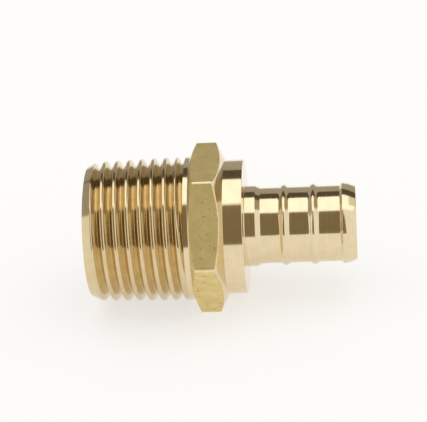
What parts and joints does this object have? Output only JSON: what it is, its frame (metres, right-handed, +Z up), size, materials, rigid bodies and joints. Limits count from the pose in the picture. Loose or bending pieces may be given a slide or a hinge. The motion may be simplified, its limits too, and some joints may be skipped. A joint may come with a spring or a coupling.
{
  "type": "pex crimp fitting",
  "caption": "Brass male adapter: tapered pipe thread, wrench hexagon, stop collar and ribbed insert for crimped plastic tube, with a stepped waterway bored right through.",
  "frame": {"origin": "on the surface that the fitting lies on, under the middle of its length", "axes": "+X along the waterway towards the ribbed insert, +Z up through the upper flat of the hexagon, whose lower flat is down"},
  "size_m": [0.0396, 0.0252, 0.022],
  "materials": {
    "brass_body": "turned and polished thread, collar and insert; hexagon matte as forged"
  },
  "bodies": {
    "root": {"fitting_body": "brass_body"}
  },
  "joints": []
}
